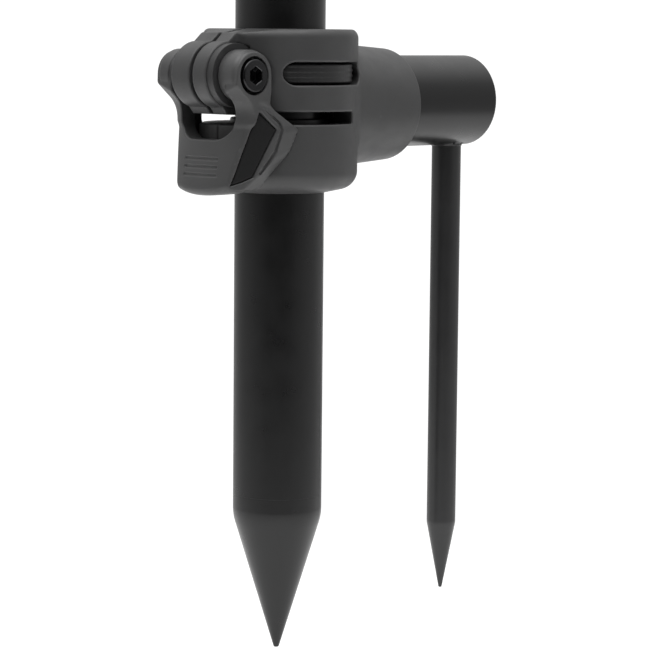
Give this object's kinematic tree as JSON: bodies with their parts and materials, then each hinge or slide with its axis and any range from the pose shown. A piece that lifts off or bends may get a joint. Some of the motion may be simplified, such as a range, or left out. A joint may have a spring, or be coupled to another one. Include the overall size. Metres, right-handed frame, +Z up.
{
  "type": "telescopic bank stick rod holder",
  "caption": "Ground-spike bank stick with sliding inner tube, screw-in rod rest and a cam-lever clamp carrying a side arm with a thin stabiliser spike.",
  "frame": {"origin": "tip of the main ground spike, on the stick's axis", "axes": "+Z up along the stick, side arm towards +X, lever on the -X side with its bolt along Y"},
  "size_m": [0.0752, 0.0276, 0.2653],
  "materials": {
    "tube": "black anodised, fine satin",
    "collar": "dark grey moulded nylon, fine spark texture",
    "lever": "dark grey moulded nylon, slightly lighter",
    "inlay": "matt black textured panel",
    "liner": "dark acetal, lightly glossy",
    "steel": "black oxide steel, oily shine",
    "brass": "turned brass",
    "rubber": "soft black rubber"
  },
  "bodies": {
    "stick": {"ground_spike": "tube", "outer_tube": "tube", "tube_top_bush": "liner", "lock_collar": "collar", "lock_insert": "brass"},
    "thumbscrew": {"thumbscrew_stem": "steel", "thumbscrew_knob": "lever"},
    "inner_stick": {"inner_tube": "tube", "inner_tube_foot": "liner", "head_insert": "tube"},
    "ring": {"lock_ring": "tube"},
    "rest": {"rest_stud": "steel", "rod_rest": "collar", "rest_liner": "rubber"},
    "guide": {"guide_bush": "liner"},
    "clamp": {"clamp_collar": "collar", "grip_liner": "liner", "side_arm": "tube", "arm_end_plug": "tube", "arm_inner_plug": "tube", "anchor_screw": "steel", "stabiliser_spike": "tube", "cam_washer_left": "liner", "cam_washer_right": "liner"},
    "lever": {"cam_lever": "lever", "lever_inlay_left": "inlay", "lever_inlay_right": "inlay", "lever_bolt": "steel", "lever_nut": "steel"}
  },
  "joints": [
    {"name": "thumbscrew_turn", "type": "hinge", "parent": "stick", "child": "thumbscrew", "pos_m": [-0.0174, 0, 0.2035], "axis": [1, 0, 0], "range_deg": [0, 360]},
    {"name": "inner_slide", "type": "slide", "parent": "stick", "child": "inner_stick", "axis": [0, 0, 1], "range_m": [-0.0055, 0.1]},
    {"name": "rest_turn", "type": "hinge", "parent": "inner_stick", "child": "rest", "pos_m": [0, 0, 0.225], "axis": [0, 0, 1], "continuous": true},
    {"name": "ring_turn", "type": "hinge", "parent": "rest", "child": "ring", "pos_m": [0, 0, 0.2276], "axis": [0, 0, 1], "continuous": true},
    {"name": "clamp_slide", "type": "slide", "parent": "stick", "child": "guide", "axis": [0, 0, 1], "range_m": [-0.055, 0.065]},
    {"name": "clamp_swivel", "type": "hinge", "parent": "guide", "child": "clamp", "pos_m": [0, 0, 0.0975], "axis": [0, 0, 1], "continuous": true},
    {"name": "lever_turn", "type": "hinge", "parent": "clamp", "child": "lever", "pos_m": [-0.0156, 0, 0.1038], "axis": [0, 1, 0], "range_deg": [0, 120]}
  ]
}
